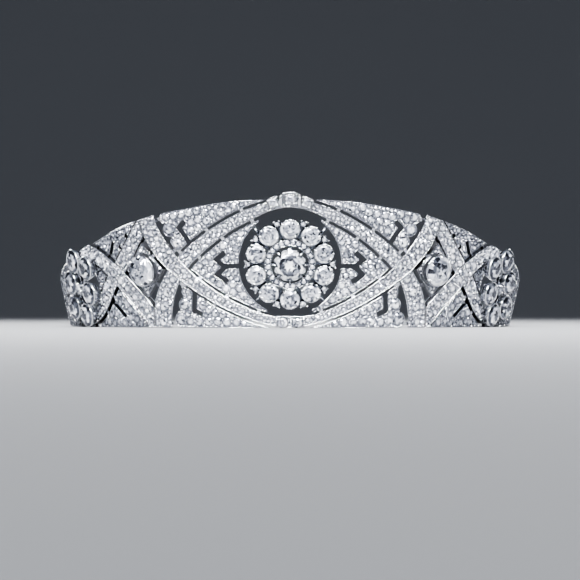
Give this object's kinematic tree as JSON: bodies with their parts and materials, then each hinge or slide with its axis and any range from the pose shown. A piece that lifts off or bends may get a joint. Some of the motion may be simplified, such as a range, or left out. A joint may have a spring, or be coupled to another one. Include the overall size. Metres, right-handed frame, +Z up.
{
  "type": "bandeau tiara",
  "caption": "Openwork bandeau tiara of crossing pavé ribbons and pierced plates, with a round stone cluster in front, and a lozenge and a flower of round stones on each side.",
  "frame": {"origin": "centre of the round lower edge of the band, in the plane it stands on", "axes": "+Z up, -Y to the front of the tiara, +X to the right as seen from the front"},
  "size_m": [0.1488, 0.1268, 0.0392],
  "materials": {
    "pave_metal": "white metal, set all over with small colourless stones",
    "plain_metal": "plain polished white metal",
    "stone": "colourless brilliant-cut stone"
  },
  "bodies": {
    "root": {"front_section": "pave_metal", "centre_cluster": "pave_metal", "crest_setting": "pave_metal", "lozenge_section_left": "pave_metal", "lozenge_setting_left": "pave_metal", "flower_section_left": "pave_metal", "flower_setting_left": "pave_metal", "lozenge_section_right": "pave_metal", "lozenge_setting_right": "pave_metal", "flower_section_right": "pave_metal", "flower_setting_right": "pave_metal", "arm_left": "plain_metal", "arm_right": "plain_metal", "centre_stone": "stone", "cluster_stone_1": "stone", "cluster_stone_2": "stone", "cluster_stone_3": "stone", "cluster_stone_4": "stone", "cluster_stone_5": "stone", "cluster_stone_6": "stone", "cluster_stone_7": "stone", "cluster_stone_8": "stone", "cluster_stone_9": "stone", "cluster_stone_10": "stone", "crest_stone_left": "stone", "crest_stone_middle": "stone", "crest_stone_right": "stone", "lozenge_stone_left": "stone", "flower_stone_left_1": "stone", "flower_stone_left_2": "stone", "flower_stone_left_3": "stone", "flower_stone_left_4": "stone", "flower_stone_left_5": "stone", "flower_stone_left_6": "stone", "lozenge_stone_right": "stone", "flower_stone_right_1": "stone", "flower_stone_right_2": "stone", "flower_stone_right_3": "stone", "flower_stone_right_4": "stone", "flower_stone_right_5": "stone", "flower_stone_right_6": "stone"}
  },
  "joints": []
}
